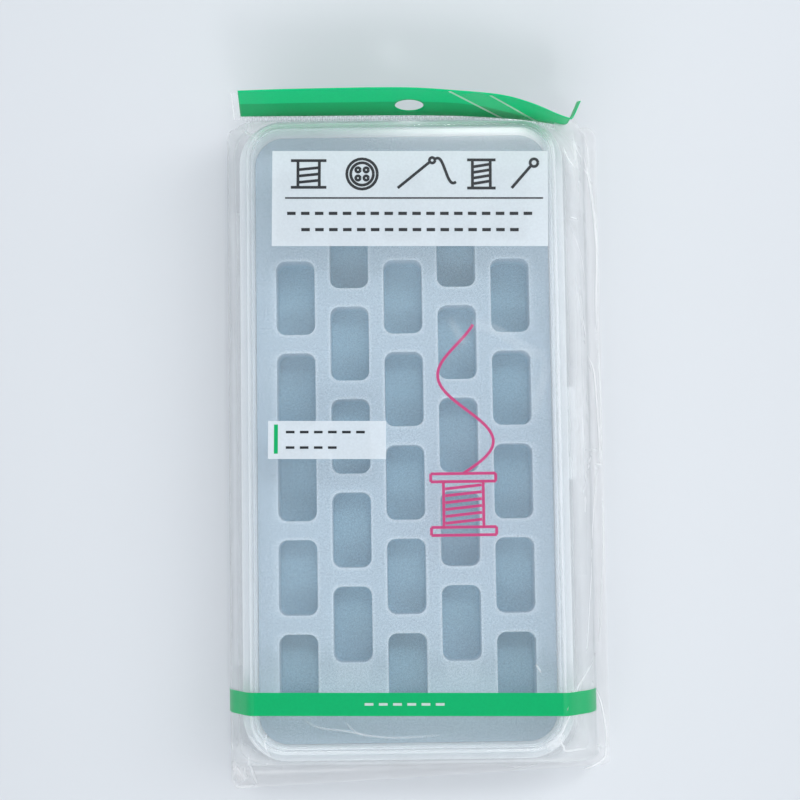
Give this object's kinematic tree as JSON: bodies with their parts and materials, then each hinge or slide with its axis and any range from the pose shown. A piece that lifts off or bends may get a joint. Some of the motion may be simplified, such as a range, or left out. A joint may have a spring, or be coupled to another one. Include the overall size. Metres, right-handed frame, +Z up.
{
  "type": "bobbin box",
  "caption": "Hinged milky plastic case with a slotted pale blue foam insert for sewing bobbins, in a clear film bag with a green hang header.",
  "frame": {"origin": "on the resting plane, under the middle of the case", "axes": "+Y along the case towards the header, +X towards the latch, +Z up through the lid"},
  "size_m": [0.1058, 0.1942, 0.037],
  "materials": {
    "case_plastic": "moulded milky polypropylene, see-through",
    "foam": "fine closed-cell EVA foam",
    "film": "clear glossy film",
    "header": "glossy green printed film"
  },
  "bodies": {
    "base": {"base_shell": "case_plastic", "foam_pad": "foam", "foam_block": "foam", "living_hinge": "case_plastic"},
    "lid": {"lid_shell": "case_plastic"},
    "latch": {"latch_tab": "case_plastic"},
    "bag": {"bag_back": "film", "bag_front": "film", "bag_seal": "film", "bag_header": "header"}
  },
  "joints": [
    {"name": "lid_open", "type": "hinge", "parent": "base", "child": "lid", "pos_m": [-0.04931, 0, 0.01445], "axis": [0, -1, 0], "range_deg": [0, 180], "deforming": ["living_hinge", "bag_front"]},
    {"name": "latch_flex", "type": "hinge", "parent": "lid", "child": "latch", "pos_m": [0.04685, 0, 0.01535], "axis": [0, -1, 0], "range_deg": [0, 22], "stiffness_Nm_per_rad": 0.02},
    {"name": "bag_pull", "type": "slide", "parent": "base", "child": "bag", "axis": [0, 1, 0], "range_m": [0, 0.2]}
  ]
}
